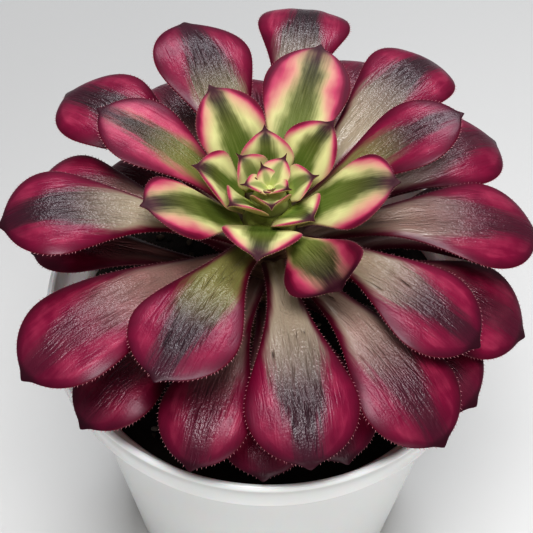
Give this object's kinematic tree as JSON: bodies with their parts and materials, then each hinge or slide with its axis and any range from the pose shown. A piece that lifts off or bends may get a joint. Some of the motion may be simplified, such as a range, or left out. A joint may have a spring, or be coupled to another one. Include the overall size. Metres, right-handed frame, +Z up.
{
  "type": "potted aeonium",
  "caption": "Succulent rosette of thick spatulate leaves on a short stem, growing in soil in a plain round plastic plant pot with a rim band.",
  "frame": {"origin": "middle of the pot's flat underside, on the surface that the pot stands on", "axes": "+Z up along the pot's axis, -Y towards the front of the pot, +X to the right seen from the front"},
  "size_m": [0.1394, 0.1455, 0.1621],
  "materials": {
    "pot_plastic": "smooth glossy white moulded plastic",
    "soil": "dark, damp, matt potting soil with fine crumbs",
    "stem_bark": "matt brown bark with low rings left by fallen leaves",
    "inner_leaf": "waxy, cream-yellow to green with a pink margin and a dark purple tip",
    "outer_leaf": "waxy, burgundy with a wide dark green middle stripe and a silvery sheen"
  },
  "bodies": {
    "root": {"pot": "pot_plastic", "soil": "soil", "stem": "stem_bark", "heart": "inner_leaf", "leaf_01": "inner_leaf", "leaf_02": "inner_leaf", "leaf_03": "inner_leaf", "leaf_04": "inner_leaf", "leaf_05": "inner_leaf", "leaf_06": "inner_leaf", "leaf_07": "inner_leaf", "leaf_08": "inner_leaf", "leaf_09": "inner_leaf", "leaf_10": "inner_leaf", "leaf_11": "inner_leaf", "leaf_12": "inner_leaf", "leaf_13": "outer_leaf", "leaf_14": "outer_leaf", "leaf_15": "outer_leaf", "leaf_16": "outer_leaf", "leaf_17": "outer_leaf", "leaf_18": "outer_leaf", "leaf_19": "outer_leaf", "leaf_20": "outer_leaf", "leaf_21": "outer_leaf", "leaf_22": "outer_leaf", "leaf_23": "outer_leaf", "leaf_24": "outer_leaf", "leaf_25": "outer_leaf", "leaf_26": "outer_leaf", "leaf_27": "outer_leaf", "leaf_28": "outer_leaf", "leaf_29": "outer_leaf", "leaf_30": "outer_leaf", "leaf_31": "outer_leaf", "leaf_32": "outer_leaf", "leaf_33": "outer_leaf", "leaf_34": "outer_leaf", "leaf_35": "outer_leaf", "leaf_36": "outer_leaf", "leaf_37": "outer_leaf", "leaf_38": "outer_leaf", "leaf_39": "outer_leaf", "leaf_40": "outer_leaf", "leaf_41": "outer_leaf", "leaf_42": "outer_leaf", "leaf_43": "outer_leaf"}
  },
  "joints": []
}
